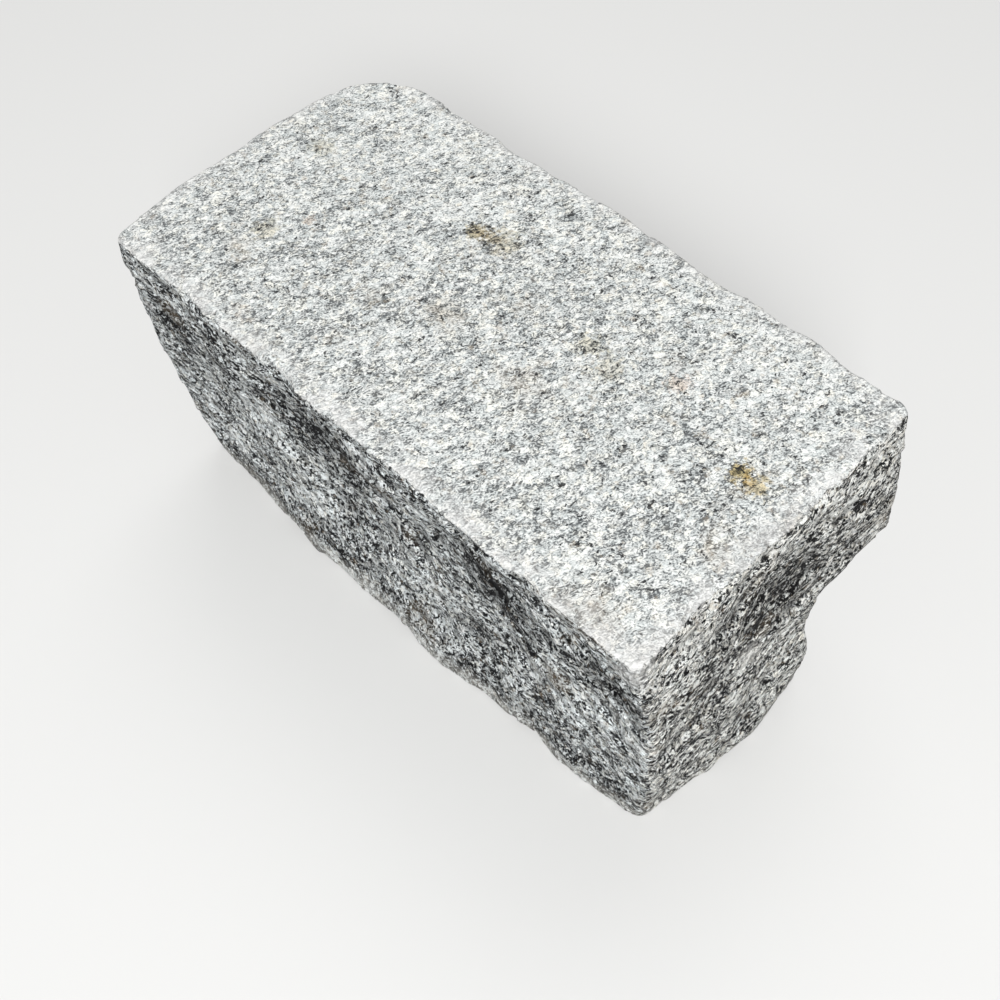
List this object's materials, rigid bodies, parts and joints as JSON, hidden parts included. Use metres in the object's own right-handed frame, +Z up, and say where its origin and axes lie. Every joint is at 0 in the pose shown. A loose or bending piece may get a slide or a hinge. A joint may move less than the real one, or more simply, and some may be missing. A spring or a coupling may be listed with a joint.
{
  "type": "granite belgian block",
  "caption": "Split granite paving block with a level wearing face, rock-faced sides, a sloping toe at one end and a spall broken out of its foot, for edging, kerbs and paving.",
  "frame": {"origin": "on the bed, under the middle of the block's overall box", "axes": "+X along the length, towards the end with the toe, +Y to the back, +Z up, out of the wearing face"},
  "size_m": [0.2704, 0.1316, 0.127],
  "materials": {
    "granite": "split, with coarse white, grey and black grains"
  },
  "bodies": {
    "root": {"granite_block": "granite"}
  },
  "joints": []
}
